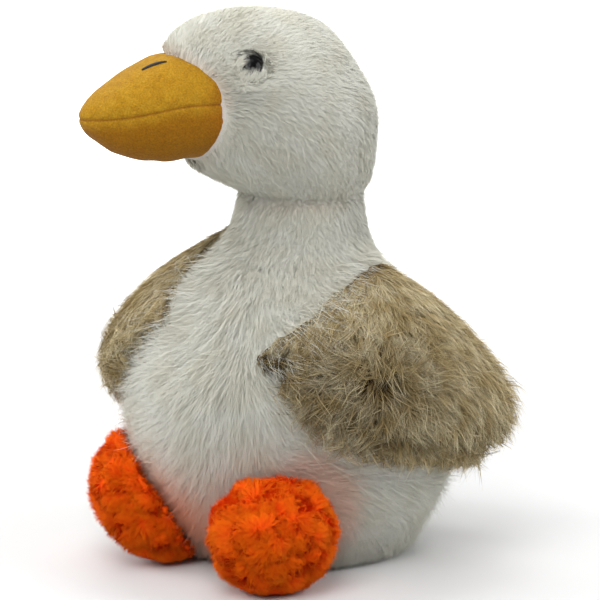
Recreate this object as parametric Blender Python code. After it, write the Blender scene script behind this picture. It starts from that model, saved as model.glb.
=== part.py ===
"""A plush toy goose that sits on its belly with both feet stuck out in front. Metres, +Z up.

The goose faces -Y and its left side is at +X. The origin is the middle of the flat under the
belly, straight below the neck. The head is turned to the goose's right. Every solid reaches out
to the tips of its fur.

The trunk, neck and head are one stack of egg-shaped level sections, parted by thin gaps. The
wings are pads laid over the trunk. The feet, the tail and the bill are full forms, cut hollow
where they press on the trunk or the head.
"""

import bmesh
import bpy
import numpy as np
from mathutils import Matrix, Vector

MM = 0.001

# Driving dimensions, in millimetres.
GAP = 0.35  # between pieces that touch
NECK_BASE = 120.0  # height where the trunk ends
NECK_TOP = 143.0  # height of the seam under the head
CROWN = 215.0  # height of the top of the head
HEAD_YAW = -30.0  # degrees, to the goose's right
FLAT_RADIUS = 36.0  # of the flat that the belly sits on

BILL_ROOT = 32.0  # forward of the neck's middle, inside the head
BILL_WIDEST = 57.0
BILL_TIP = 90.5
BILL_SEAM = 182.0  # height of the side seam between the upper and lower bill, at the root
BILL_DROOP = 6.0  # degrees, tip down
BILL_HALF_WIDTH = 23.5
# Each half: depth, how late it tapers, how round the taper closes, how pointed its section is.
BILL_UPPER = (19.0, 1.15, 0.68, 1.0)
BILL_LOWER = (21.8, 1.7, 0.65, 0.8)
# In width: where narrowing starts behind the widest place, how late it tapers, how round it closes.
BILL_NARROWING = (8.0, 1.9, 0.6)
BILL_BLUNTNESS = 0.004  # of the full size, left at the very tip

EYE_RADIUS = 6.0
EYE_FORWARD = 31.3  # along the head from the neck's middle
EYE_HEIGHT = 195.0
EYE_SINK = 5.6  # the bead's middle, below the coat's surface
EYE_SEARCH = (0.2, np.pi / 2)  # round the head from its front, in radians
SOCKET_RADII = (6.5, 3.8)  # across and deep

TAIL_RADII = (19.0, 25.0, 12.0)
TAIL_MIDDLE = (0.0, 60.0, 40.0)
TAIL_PITCH = 24.0  # degrees, tip up

# Each foot: middle, radii, and degrees that its top leans to the goose's right.
FOOT_LEFT = ((36.0, -62.0, 22.0), (25.0, 28.0, 24.0), 12.0)
FOOT_RIGHT = ((-31.0, -53.5, 26.0), (20.5, 27.0, 29.0), 40.0)
TOE_BULGE = 0.09
TOE_HOLLOW = 0.4  # of the bulge, taken off between toes
TOE_SPREAD = 34.0  # degrees between toes
TOE_WIDTH = 13.0  # degrees

# Level sections of the trunk and neck: height, half width, reach to the front and to the back.
BODY_STATIONS = (
    (0.0, FLAT_RADIUS, 38.0, FLAT_RADIUS),
    (4.0, 44.5, 46.5, 44.0),
    (13.0, 52.0, 58.0, 50.5),
    (28.0, 58.0, 67.5, 55.0),
    (45.0, 61.5, 74.0, 58.0),
    (60.0, 62.5, 76.0, 58.5),
    (78.0, 60.0, 73.0, 55.5),
    (90.0, 56.0, 67.0, 49.5),
    (100.0, 50.0, 60.5, 42.0),
    (110.0, 41.0, 51.0, 32.5),
    (118.0, 32.8, 40.0, 28.2),
    (125.0, 27.8, 31.3, 26.0),
    (132.0, 25.4, 26.6, 25.0),
    (NECK_TOP, 25.5, 24.0, 27.0),
)

# Level sections of the head, turned by HEAD_YAW: height, middle, half length, half width.
HEAD_STATIONS = (
    (NECK_TOP, -1.5, 25.5, 25.5),
    (148.3, 3.2, 31.6, 27.5),
    (154.0, 8.0, 37.6, 30.5),
    (159.5, 9.4, 39.4, 32.3),
    (169.0, 10.6, 41.2, 34.3),
    (179.0, 11.5, 40.4, 34.3),
    (188.5, 14.2, 38.0, 32.4),
    (199.0, 19.0, 36.0, 27.6),
    (204.0, 20.2, 33.2, 23.8),
    (209.0, 20.4, 27.2, 18.4),
    (212.6, 21.0, 17.6, 12.0),
    (CROWN, 21.0, 0.6, 0.5),
)

# Each wing along the trunk, from its front tip to its back edge: degrees round from the front,
# height of its lower edge, height of its upper edge, greatest thickness.
WING_STATIONS = (
    (26.0, 86.5, 89.5, 1.0),
    (33.0, 81.0, 95.0, 5.0),
    (41.0, 73.0, 99.5, 8.0),
    (49.0, 59.0, 103.5, 10.0),
    (62.0, 49.0, 110.0, 12.0),
    (82.0, 43.0, 116.0, 15.0),
    (102.0, 38.0, 116.0, 16.0),
    (126.0, 35.0, 99.0, 19.0),
    (144.0, 42.0, 87.0, 14.0),
    (153.0, 56.0, 84.0, 7.0),
    (158.0, 66.0, 76.0, 1.0),
)
WING_EDGE = 0.8  # thickness at the rim
WING_GAP = 0.6  # to the trunk's curved flank
WING_SAG = 0.56  # below 1, the pad is fullest under its middle
WING_ROUNDNESS = 0.8  # below 1, its section is blunter than a half wave
# The right wing sits further forward and higher than the left one, and is flatter.
RIGHT_WING_TURN = 8.0
RIGHT_WING_LIFT = 10.0
RIGHT_WING_FULLNESS = 0.92

# How finely the forms are faceted. A crowding over 1 draws levels towards one end.
AROUND = 36
TRUNK_LEVELS = 19
TRUNK_CROWDING = 1.3
NECK_LEVELS = 5
HEAD_LEVELS = 21
HEAD_CROWDING = 1.5
HEAD_TOP_SQUARED = 0.04  # least squared radius, so that the crown's last ring stays open
WING_STEPS = 19
WING_ROWS = 9
BILL_STEPS = 13
BILL_CROWDING = 1.1
BILL_ARC = 15
PUFF_SEGMENTS = 24
PUFF_RINGS = 14
EYE_SEGMENTS = 18
EYE_RINGS = 10
CREASE = 50.0  # degrees between faces that are shaded as a sharp edge
SMALL_STEP = 0.01  # for slopes: radians round a form, millimetres up it
SEARCH_STEPS = 400

# Material: base colour, roughness.
WHITE_PLUSH = ("white_plush", (0.80, 0.80, 0.76), 0.95)
TAN_PLUSH = ("tan_plush", (0.42, 0.33, 0.20), 0.95)
ORANGE_PLUSH = ("orange_plush", (0.86, 0.16, 0.02), 0.95)
YELLOW_FELT = ("yellow_felt", (0.72, 0.38, 0.05), 0.9)
BLACK_BEAD = ("black_bead", (0.01, 0.01, 0.012), 0.08)


def clear_scene():
    for leftover in list(bpy.data.objects):
        bpy.data.objects.remove(leftover, do_unlink=True)


def new_collection(name, shown):
    made = bpy.data.collections.new(name)
    made.hide_render = not shown
    bpy.context.scene.collection.children.link(made)
    return made


def material(name, colour, roughness):
    found = bpy.data.materials.get(name)
    if found:
        return found
    made = bpy.data.materials.new(name)
    made.use_nodes = True
    made.diffuse_color = (*colour, 1.0)
    shader = made.node_tree.nodes["Principled BSDF"]
    shader.inputs["Base Color"].default_value = (*colour, 1.0)
    shader.inputs["Roughness"].default_value = roughness
    shader.inputs["Metallic"].default_value = 0.0
    return made


def place(mesh, name, finish, collection):
    """Adds a smooth-shaded object for this mesh."""
    mesh.shade_smooth()
    mesh.set_sharp_from_angle(angle=np.radians(CREASE))
    mesh.materials.append(material(*finish))
    made = bpy.data.objects.new(name, mesh)
    collection.objects.link(made)
    return made


def through_stations(stations, at):
    """The stations' values at these places of their first column, joined by smooth curves."""
    table = np.array(stations)
    knots = table[:, 0]
    values = table[:, 1:]
    slopes = np.gradient(values, knots, axis=0)
    at = np.clip(at, knots[0], knots[-1])
    left = np.clip(np.searchsorted(knots, at) - 1, 0, len(knots) - 2)
    span = knots[left + 1] - knots[left]
    t = ((at - knots[left]) / span)[:, None]
    span = span[:, None]
    start = (1 + 2 * t) * (1 - t) ** 2 * values[left] + t * (1 - t) ** 2 * span * slopes[left]
    end = t**2 * (3 - 2 * t) * values[left + 1] - t**2 * (1 - t) * span * slopes[left + 1]
    return start + end


def facing(yaw):
    """Unit vectors forward and to the goose's left, for a part turned by yaw degrees."""
    turn = np.radians(yaw)
    forward = np.array([np.sin(turn), -np.cos(turn), 0.0])
    left = np.array([np.cos(turn), np.sin(turn), 0.0])
    return forward, left


def body_points(angles, heights):
    """Points on the trunk and neck. An angle of 0 is the front and 90 degrees the left side."""
    half_width, front, back = through_stations(BODY_STATIONS, heights).T
    reach = np.where(np.cos(angles) > 0, front, back)
    return np.stack(
        [half_width * np.sin(angles), -reach * np.cos(angles), np.asarray(heights, float)], axis=-1
    )


def body_normals(angles, heights):
    """Outward normals of the trunk, from small steps round it and up it."""
    step = SMALL_STEP
    round_it = body_points(angles + step, heights) - body_points(angles - step, heights)
    up_it = body_points(angles, heights + step) - body_points(angles, heights - step)
    normals = np.cross(round_it, up_it)
    return normals / np.linalg.norm(normals, axis=-1, keepdims=True)


def head_points(angles, heights):
    """Points on the head, with angles counted from its own front."""
    squared = np.array(HEAD_STATIONS)
    squared[:, 2:] **= 2  # so that the crown closes as a round dome
    middle, long_squared, wide_squared = through_stations(squared, heights).T
    forward, left = facing(HEAD_YAW)
    ahead = middle + np.sqrt(np.maximum(long_squared, HEAD_TOP_SQUARED)) * np.cos(angles)
    aside = np.sqrt(np.maximum(wide_squared, HEAD_TOP_SQUARED)) * np.sin(angles)
    points = ahead[:, None] * forward + aside[:, None] * left
    points[:, 2] = heights
    return points


def full_turn():
    return np.linspace(0, 2 * np.pi, AROUND, endpoint=False)


def stack(point_at, heights):
    """Level rings of points, from the lowest to the highest."""
    angles = full_turn()
    return [point_at(angles, np.full(AROUND, height)) for height in heights]


def loft(rings):
    """A closed mesh through rings of equally many points, with a flat face over each end."""
    made = bmesh.new()
    rows = [[made.verts.new(Vector(p) * MM) for p in ring] for ring in rings]
    for lower, upper in zip(rows, rows[1:]):
        for i in range(len(lower)):
            j = (i + 1) % len(lower)
            made.faces.new((lower[i], lower[j], upper[j], upper[i]))
    made.faces.new(rows[0][::-1])
    made.faces.new(rows[-1])
    bmesh.ops.recalc_face_normals(made, faces=made.faces)
    mesh = bpy.data.meshes.new("loft")
    made.to_mesh(mesh)
    made.free()
    return mesh


def swollen(mesh, by):
    """A copy of a mesh with each vertex moved out along its normal by so many millimetres."""
    made = bmesh.new()
    made.from_mesh(mesh)
    made.normal_update()
    moves = [vertex.normal * by * MM for vertex in made.verts]
    for vertex, move in zip(made.verts, moves):
        vertex.co += move
    grown = bpy.data.meshes.new("swollen")
    made.to_mesh(grown)
    made.free()
    return grown


def cutter(mesh, name, collection):
    made = bpy.data.objects.new(name, mesh)
    made.display_type = "WIRE"
    made.hide_render = True
    collection.objects.link(made)
    return made


def cut(piece, tool):
    modifier = piece.modifiers.new(f"less_{tool.name}", "BOOLEAN")
    modifier.operation = "DIFFERENCE"
    modifier.solver = "EXACT"
    modifier.object = tool


def puff(radii):
    """An ellipsoid, as a mesh about its own middle."""
    made = bmesh.new()
    bmesh.ops.create_uvsphere(made, u_segments=PUFF_SEGMENTS, v_segments=PUFF_RINGS, radius=MM)
    bmesh.ops.scale(made, vec=Vector(radii), verts=made.verts)
    return made


def finished(made, matrix):
    made.transform(matrix)
    mesh = bpy.data.meshes.new("puff")
    made.to_mesh(mesh)
    made.free()
    return mesh


def trunk_mesh():
    """Levels lie closest near the floor, where the belly rounds fastest."""
    heights = NECK_BASE * np.linspace(0, 1, TRUNK_LEVELS) ** TRUNK_CROWDING
    return loft(stack(body_points, heights))


def neck_mesh():
    heights = np.linspace(NECK_BASE + GAP, NECK_TOP - GAP, NECK_LEVELS)
    return loft(stack(body_points, heights))


def head_mesh():
    """Levels lie closest near the crown, where the dome closes."""
    rise = 1 - (1 - np.linspace(0, 1, HEAD_LEVELS)) ** HEAD_CROWDING
    return loft(stack(head_points, NECK_TOP + (CROWN - NECK_TOP) * rise))


def wing_mesh(side, turn, lift, fullness):
    """A pad over the trunk's flank: up its inner face and down its outer face at each step."""
    first = WING_STATIONS[0][0]
    last = WING_STATIONS[-1][0]
    rows = np.linspace(0, 1, WING_ROWS)
    swell = np.sin(np.pi * rows**WING_SAG) ** WING_ROUNDNESS
    rings = []
    for at in np.linspace(first, last, WING_STEPS):
        low, high, thickness = through_stations(WING_STATIONS, np.array([at]))[0]
        heights = low + (high - low) * rows + lift
        angles = np.full(WING_ROWS, np.radians(at - turn))
        points = body_points(angles, heights)
        normals = body_normals(angles, heights)
        inner = points + normals * WING_GAP
        outer = inner + normals * (WING_EDGE + thickness * fullness * swell)[:, None]
        ring = np.concatenate([inner, outer[::-1]])
        ring[:, 0] *= side
        rings.append(ring)
    return loft(rings)


def bill_half_mesh(side):
    """The upper (side 1) or lower (side -1) half of the bill, flat along the seam."""
    depth, blunt, round_off, pointed = BILL_UPPER if side > 0 else BILL_LOWER
    before_widest, narrow_late, narrow_round = BILL_NARROWING
    forward, left = facing(HEAD_YAW)
    arc = np.linspace(0, np.pi, BILL_ARC)
    rings = []
    for step in np.linspace(0, 1, BILL_STEPS):
        ahead = BILL_ROOT + (BILL_TIP - BILL_ROOT) * np.sin(step * np.pi / 2) ** BILL_CROWDING
        past_widest = max(0.0, (ahead - BILL_WIDEST) / (BILL_TIP - BILL_WIDEST))
        taper = max(1 - past_widest**blunt, BILL_BLUNTNESS) ** round_off
        narrow_from = BILL_WIDEST - before_widest
        past_start = max(0.0, (ahead - narrow_from) / (BILL_TIP - narrow_from))
        narrowing = max(1 - past_start**narrow_late, BILL_BLUNTNESS) ** narrow_round
        middle = ahead * forward
        droop = np.tan(np.radians(BILL_DROOP)) * (ahead - BILL_ROOT)
        middle[2] = BILL_SEAM - droop + side * GAP / 2
        across = BILL_HALF_WIDTH * narrowing * np.sign(np.cos(arc)) * np.abs(np.cos(arc)) ** pointed
        rise = side * depth * taper * np.sin(arc) ** pointed
        ring = middle + across[:, None] * left
        ring[:, 2] += rise
        rings.append(ring)
    return loft(rings)


def eye_middle(side):
    """The middle of the bead and the outward direction there."""
    height = np.array([EYE_HEIGHT])
    angles = np.linspace(*EYE_SEARCH, SEARCH_STEPS)
    forward, _ = facing(HEAD_YAW)
    ring = head_points(angles, np.full(len(angles), EYE_HEIGHT))
    at = angles[np.abs(ring @ forward - EYE_FORWARD).argmin()] * side
    spot = head_points(np.array([at]), height)[0]
    round_it = head_points(np.array([at + SMALL_STEP]), height)[0] - spot
    up_it = head_points(np.array([at]), height + SMALL_STEP)[0] - spot
    outward = np.cross(round_it, up_it)
    outward /= np.linalg.norm(outward)
    return Vector(spot - outward * EYE_SINK), Vector(outward)


def eye_mesh(side, radius):
    middle, outward = eye_middle(side)
    made = bmesh.new()
    bmesh.ops.create_uvsphere(
        made, u_segments=EYE_SEGMENTS, v_segments=EYE_RINGS, radius=radius * MM
    )
    turn = outward.to_track_quat("Z", "Y").to_matrix().to_4x4()
    return finished(made, Matrix.Translation(middle * MM) @ turn)


def socket_mesh(side):
    """The dish that the fur leaves open in front of the bead."""
    middle, outward = eye_middle(side)
    across, deep = SOCKET_RADII
    made = puff((across, across, deep))
    turn = outward.to_track_quat("Z", "Y").to_matrix().to_4x4()
    return finished(made, Matrix.Translation((middle + outward * EYE_SINK) * MM) @ turn)


def tail_mesh():
    made = puff(TAIL_RADII)
    pitch = Matrix.Rotation(np.radians(TAIL_PITCH), 4, "X")
    return finished(made, Matrix.Translation(Vector(TAIL_MIDDLE) * MM) @ pitch)


def foot_mesh(middle, radii, lean):
    """A round slipper of a foot with three soft toes, flat where it stands on the floor."""
    made = puff(radii)
    for vertex in made.verts:
        bearing = np.degrees(np.arctan2(vertex.co.x, -vertex.co.y))
        low = 1 - min(abs(vertex.co.z / (radii[2] * MM)), 1) ** 2
        toes = sum(
            np.exp(-(((bearing - toe * TOE_SPREAD) / TOE_WIDTH) ** 2)) for toe in (-1, 0, 1)
        )
        vertex.co.xy *= 1 + TOE_BULGE * low * (toes - TOE_HOLLOW)
    roll = Matrix.Rotation(np.radians(-lean), 4, "Y")
    mesh = finished(made, Matrix.Translation(Vector(middle) * MM) @ roll)
    for vertex in mesh.vertices:
        vertex.co.z = max(vertex.co.z, 0.0)
    return mesh


def main():
    clear_scene()
    goose = new_collection("plush_goose", shown=True)
    cutters = new_collection("cutters", shown=False)

    trunk = place(trunk_mesh(), "trunk", WHITE_PLUSH, goose)
    place(neck_mesh(), "neck", WHITE_PLUSH, goose)
    head = place(head_mesh(), "head", WHITE_PLUSH, goose)
    place(wing_mesh(1, 0.0, 0.0, 1.0), "wing_left", TAN_PLUSH, goose)
    right_wing = wing_mesh(-1, RIGHT_WING_TURN, RIGHT_WING_LIFT, RIGHT_WING_FULLNESS)
    place(right_wing, "wing_right", TAN_PLUSH, goose)
    tail = place(tail_mesh(), "tail", WHITE_PLUSH, goose)
    feet = [
        place(foot_mesh(*FOOT_LEFT), "foot_left", ORANGE_PLUSH, goose),
        place(foot_mesh(*FOOT_RIGHT), "foot_right", ORANGE_PLUSH, goose),
    ]
    bills = [
        place(bill_half_mesh(1), "bill_upper", YELLOW_FELT, goose),
        place(bill_half_mesh(-1), "bill_lower", YELLOW_FELT, goose),
    ]

    trunk_and_gap = cutter(swollen(trunk.data, GAP), "trunk_and_gap", cutters)
    for piece in (tail, *feet):
        cut(piece, trunk_and_gap)
    head_and_gap = cutter(swollen(head.data, GAP), "head_and_gap", cutters)
    for piece in bills:
        cut(piece, head_and_gap)

    for side, name in ((1, "left"), (-1, "right")):
        cut(head, cutter(socket_mesh(side), f"socket_{name}", cutters))
        cut(head, cutter(eye_mesh(side, EYE_RADIUS + GAP), f"eye_{name}_and_gap", cutters))
        place(eye_mesh(side, EYE_RADIUS), f"eye_{name}", BLACK_BEAD, goose)


main()
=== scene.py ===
import math

import bmesh
import bpy
import numpy as np
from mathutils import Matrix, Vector
from mathutils.bvhtree import BVHTree
from mathutils.kdtree import KDTree


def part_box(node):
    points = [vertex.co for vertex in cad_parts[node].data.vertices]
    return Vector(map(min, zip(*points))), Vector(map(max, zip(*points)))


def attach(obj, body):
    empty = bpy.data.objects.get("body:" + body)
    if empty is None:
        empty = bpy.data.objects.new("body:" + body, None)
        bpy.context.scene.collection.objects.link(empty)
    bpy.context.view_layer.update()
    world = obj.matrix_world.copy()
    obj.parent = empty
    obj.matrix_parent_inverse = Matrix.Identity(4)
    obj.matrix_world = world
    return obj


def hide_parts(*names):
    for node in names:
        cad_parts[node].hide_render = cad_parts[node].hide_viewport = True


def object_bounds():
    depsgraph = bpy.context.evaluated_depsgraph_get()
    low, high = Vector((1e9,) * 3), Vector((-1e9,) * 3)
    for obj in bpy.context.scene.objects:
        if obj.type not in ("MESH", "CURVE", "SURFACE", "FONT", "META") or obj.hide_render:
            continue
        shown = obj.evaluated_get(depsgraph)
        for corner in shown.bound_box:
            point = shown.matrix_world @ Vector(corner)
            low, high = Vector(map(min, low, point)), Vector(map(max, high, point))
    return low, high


# The looks of a seated plush goose: cloth skins, a pile of fine tufts over them, a felt bill with
# stitched nostrils, and bead eyes. Metres unless a name ends in _MM; angles are in degrees. A
# bearing of 0 is the goose's front (-Y) and 90 its left side (+X).

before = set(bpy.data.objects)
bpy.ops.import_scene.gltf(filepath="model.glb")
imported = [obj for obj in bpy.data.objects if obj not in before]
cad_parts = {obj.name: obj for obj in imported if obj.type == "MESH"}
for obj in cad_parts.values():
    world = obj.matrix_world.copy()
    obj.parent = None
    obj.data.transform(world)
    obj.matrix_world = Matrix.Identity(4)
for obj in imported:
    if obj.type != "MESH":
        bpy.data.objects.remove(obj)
cad_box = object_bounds()

MM = 0.001
TINY = 1e-9
DOWN = np.array([0.0, 0.0, -1.0])
UP = -DOWN

# Camera. The target's height and the picture's width are shares of the toy's height.
VIEW_BEARING = 38.0
VIEW_RISE = 11.0
VIEW_DISTANCE = 1.6
TARGET_SHARE = 0.457
PICTURE_SHARE = 1.094
SENSOR_MM = 36.0

# Stage.
WORLD_LIGHT = 0.2
FLOOR_RADIUS = 2.4
FLOOR_BOUNCE = 0.52  # how pale the floor is to bounced light
FLOOR_SEEN = 0.8  # and to the camera
FLOOR_FADE = (0.3, 1.0)  # where it starts to fade to white, and ends

# Skins.
WELD = 1e-6
SWELL_MM = 0.45  # so that neighbouring nodes run into one skin
BODY_VOXEL_MM = 2.0
WING_VOXEL_MM = 1.6
FOOT_VOXEL_MM = 1.2
BILL_VOXEL_MM = 0.9
THIN_SHARE = 0.42  # the most of a pad's own thickness that its pile takes

# Places on the body.
PARTING = 17.0  # bearing of the parting down the chest
PARTING_WIDTH = 24.0
BACK_BEARING = 115.0  # where the chest's coat ends and the back's starts
BILL_DROOP = 6.0
SEAM_ARCH_MM = 2.3

# Pile: length along the hair and depth over the skin.
HEAD_LENGTH_MM = 3.6
HEAD_DEPTH_MM = 2.0
CHEEK_LENGTH_MM = 7.0
NECK_LENGTH_MM = 5.0
NECK_DEPTH_MM = 2.2
CHEST_LENGTH_MM = 15.0
CHEST_DEPTH_MM = 5.0
TAIL_LENGTH_MM = 12.0
TAIL_DEPTH_MM = 4.5
UNDER_WING_MM = 3.0  # depth of the white pile that a wing lies on
WING_LENGTH_MM = 15.0
WING_DEPTH_MM = 7.5
FOOT_LENGTH_MM = 4.3
FOOT_DEPTH_MM = 2.7

PATCH = 0.003  # each tuft's patch on its skin's unwrap
BODY_SEED = 100
WING_SEED = 200
FOOT_SEED = 300
FLOOR_CLEARANCE = 0.0004
ROUNDNESS = 0.9  # how far a tuft's edges turn away, where it isn't lit as its skin is
REACH = 0.02  # how far off a neighbour still covers or catches the pile

# Lumps under a pad's pile, and the tufts of a foot.
LUMP_SPACING_MM = 16.0
WING_LUMP_MM = 0.6
FOOT_LUMP_MM = 0.8
TUFT_SPACING_MM = 10.0
TUFT_HEIGHT_MM = 2.4
FOLD_DEPTH_MM = 3.0

# A fill share for each part, given to stuffed() with it.
BODY_FILL = 0.85
WING_FILL = 0.6
FOOT_FILL = 0.8
BILL_FILL = 0.9

# Colours. A pile's run from the roots to the tips.
# Painted orange bounce light and painted shade, on the white plush beside orange.
PAINTED_BOUNCE_AND_SHADE = (0.84, 0.34, 0.20)  # white plush beside orange
WHITE_CLOTH = ((0.73, 0.72, 0.66), (0.69, 0.68, 0.62))
WHITE_PILE = ((0.0, (0.74, 0.73, 0.65)), (0.3, (0.765, 0.76, 0.685)), (1.0, (0.80, 0.80, 0.725)))
WHITE_TINT = (0.95, 0.94, 0.90)
# Dark tan: darker roots, and painted shade in the left wing's fold and middle.
TAN_ROOTS_AND_SHADE = (0.040, 0.021, 0.007)
TAN_CLOTH = ((0.20, 0.14, 0.065), (0.15, 0.10, 0.045))
TAN_PILE = ((0.0, (0.16, 0.10, 0.036)), (0.35, (0.39, 0.285, 0.12)), (1.0, (0.93, 0.85, 0.59)))
TAN_TINT = (0.74, 0.67, 0.53)
TAN_GLEAM = (1.0, 0.85, 0.6)
# Painted shade low on the feet.
ORANGE_PAINTED_SHADE = (0.62, 0.022, 0.001)
ORANGE_CLOTH = ((1.0, 0.12, 0.002), (0.96, 0.09, 0.001))
ORANGE_PILE = ((0.0, (1.0, 0.09, 0.001)), (0.4, (1.0, 0.13, 0.001)), (1.0, (1.0, 0.21, 0.001)))
ORANGE_TINT = (1.0, 0.84, 0.5)
ORANGE_GLEAM = (1.0, 0.30, 0.01)
FELT = ((0.0, (0.40, 0.195, 0.010)), (0.5, (0.445, 0.23, 0.012)), (1.0, (0.49, 0.27, 0.018)))
# The bill's lower half: partly its own deeper colour, partly painted shade.
FELT_LOWER_AND_SHADE = (0.32, 0.125, 0.004)
FELT_ROOT = (0.42, 0.14, 0.007)
FELT_SEAM = (0.23, 0.065, 0.006)
THREAD = ((0.008, 0.007, 0.007), (0.03, 0.026, 0.024))
BEAD = ((0.003, 0.003, 0.0035), (0.007, 0.0065, 0.0065))


# ---------------------------------------------------------------- small tools


def unit(vectors):
    return vectors / np.maximum(np.linalg.norm(vectors, axis=-1, keepdims=True), TINY)


def rise(low, high, value):
    """From 0 below low to 1 above high, smoothly."""
    t = np.clip((value - low) / (high - low), 0, 1)
    return t * t * (3 - 2 * t)


def hump(value, middle, width):
    return np.exp(-(((value - middle) / width) ** 2))


def bearing(place):
    return np.degrees(np.arctan2(place[:, 0], -place[:, 1]))


def way_round(place):
    """Unit vectors level with the floor, towards growing bearings."""
    turn = np.radians(bearing(place))
    return np.stack([np.cos(turn), np.sin(turn), np.zeros(len(turn))], axis=1)


def flat_to(facing, way):
    """These directions laid into the surface that faces this way."""
    return unit(way - (way * facing).sum(axis=1, keepdims=True) * facing)


def turned(way, facing, degrees):
    """Directions in a surface, turned about its facing."""
    angle = np.radians(degrees)[:, None]
    return way * np.cos(angle) + np.cross(facing, way) * np.sin(angle)


def waves(seed, size, count=7):
    """A smooth field of about -1 to 1 whose swells are this far apart."""
    rng = np.random.default_rng(seed)
    ways = unit(rng.normal(size=(count, 3))) * rng.uniform(0.6, 1.7, (count, 1)) * 2 * np.pi / size
    phases = rng.uniform(0, 2 * np.pi, count)
    return lambda place: np.sin(place @ ways.T + phases).sum(axis=1) * math.sqrt(2 / count) * 0.7


def middle_of(node):
    low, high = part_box(node)
    return (low + high) / 2


def nearest_of(points, place):
    """For each place, which of these points is nearest, and how far off it is."""
    search = KDTree(len(points))
    for i, point in enumerate(points.tolist()):
        search.insert(point, i)
    search.balance()
    found = [search.find(spot) for spot in place.tolist()]
    return np.array([which for _, which, _ in found]), np.array([apart for _, _, apart in found])


def read(items, name, width):
    values = np.empty(len(items) * width, np.float32)
    items.foreach_get(name, values)
    return values.reshape(-1, width).astype(float)


# ---------------------------------------------------------------- the head's own directions

eye_left = np.array(middle_of("eye_left"))
eye_right = np.array(middle_of("eye_right"))
head_left = unit(eye_left - eye_right)
head_ahead = np.array([head_left[1], -head_left[0], 0.0])
eye_radius = (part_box("eye_left")[1].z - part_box("eye_left")[0].z) / 2
neck_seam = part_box("head")[0].z
neck_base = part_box("neck")[0].z
bill_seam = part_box("bill_lower")[1].z
bill_root = head_ahead * 0.040 + UP * bill_seam


# ---------------------------------------------------------------- skins


def link(name, mesh):
    made = bpy.data.objects.new(name, mesh)
    bpy.context.scene.collection.objects.link(made)
    return made


def mesh_of(name, made):
    """A bmesh's own mesh. The bmesh is let go."""
    mesh = bpy.data.meshes.new(name)
    made.to_mesh(mesh)
    made.free()
    return mesh


def merged(nodes, swell):
    """One mesh of these nodes' solids, each swollen a little so that neighbours overlap."""
    joined = bmesh.new()
    for node in nodes:
        piece = bmesh.new()
        piece.from_mesh(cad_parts[node].data)
        bmesh.ops.remove_doubles(piece, verts=piece.verts, dist=WELD)
        piece.normal_update()
        moves = [vertex.normal * swell for vertex in piece.verts]
        for vertex, move in zip(piece.verts, moves):
            vertex.co += move
        grown = mesh_of("grown", piece)
        joined.from_mesh(grown)
        bpy.data.meshes.remove(grown)
    return mesh_of("merged", joined)


def remeshed(name, mesh, voxel, rounds, subdivide=0):
    """The mesh as one even, smoothed, closed skin."""
    made = link(name, mesh)
    even = made.modifiers.new("even", "REMESH")
    even.mode = "VOXEL"
    even.voxel_size = voxel
    even.use_smooth_shade = True
    soften = made.modifiers.new("soften", "SMOOTH")
    soften.factor = 0.5
    soften.iterations = rounds
    if subdivide:
        finer = made.modifiers.new("finer", "SUBSURF")
        finer.levels = subdivide
        finer.render_levels = subdivide
    graph = bpy.context.evaluated_depsgraph_get()
    final = bpy.data.meshes.new_from_object(made.evaluated_get(graph))
    made.modifiers.clear()
    made.data = final
    return made


def keep_largest(made):
    """Drops the crumbs that a remesh leaves at a thin rim."""
    body = bmesh.new()
    body.from_mesh(made.data)
    body.verts.ensure_lookup_table()
    group = [-1] * len(body.verts)
    sizes = []
    for first in body.verts:
        if group[first.index] >= 0:
            continue
        group[first.index] = len(sizes)
        found = [first]
        for vertex in found:
            for edge in vertex.link_edges:
                other = edge.other_vert(vertex)
                if group[other.index] < 0:
                    group[other.index] = len(sizes)
                    found.append(other)
        sizes.append(len(found))
    biggest = int(np.argmax(sizes))
    crumbs = [vertex for vertex in body.verts if group[vertex.index] != biggest]
    bmesh.ops.delete(body, geom=crumbs, context="VERTS")
    body.to_mesh(made.data)
    body.free()


def relax(values, edges, rounds):
    """Each value drawn towards its neighbours' mean."""
    count = len(values)
    ends = np.concatenate([edges[:, 0], edges[:, 1]])
    others = np.concatenate([edges[:, 1], edges[:, 0]])
    degree = np.maximum(np.bincount(ends, minlength=count), 1)
    flat = values.reshape(count, -1).copy()
    for _ in range(rounds):
        for column in range(flat.shape[1]):
            total = np.bincount(ends, weights=flat[others, column], minlength=count)
            flat[:, column] = (flat[:, column] + total / degree) / 2
    return flat.reshape(values.shape)


def tree_of(mesh):
    mesh.calc_loop_triangles()
    corners = read(mesh.loop_triangles, "vertices", 3).astype(int)
    return BVHTree.FromPolygons(read(mesh.vertices, "co", 3).tolist(), corners.tolist())


def thickness(tree, place, facing, most):
    """How thick the solid is behind each point."""
    start = place - facing * 2e-4
    found = [
        tree.ray_cast(Vector(s), Vector(-f), most)[3] for s, f in zip(start.tolist(), facing)
    ]
    return np.array([most if distance is None else distance for distance in found])


def covered(place, facing, trees):
    """Whether any of these surfaces lies right over each point."""
    return np.array(
        [
            any(tree.ray_cast(Vector(p), Vector(f), REACH)[0] is not None for tree in trees)
            for p, f in zip(place, facing)
        ]
    )


def keep_values(mesh, name, values):
    layer = mesh.attributes.new(name, "FLOAT", "POINT")
    layer.data.foreach_set("value", values.astype(np.float32))


def shape_of(mesh):
    """Its points, the way it faces at each, and its edges."""
    place = read(mesh.vertices, "co", 3)
    facing = read(mesh.vertices, "normal", 3)
    return place, facing, read(mesh.edges, "vertices", 2).astype(int)


def reshape(mesh, place):
    mesh.vertices.foreach_set("co", place.ravel())
    mesh.update()


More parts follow.
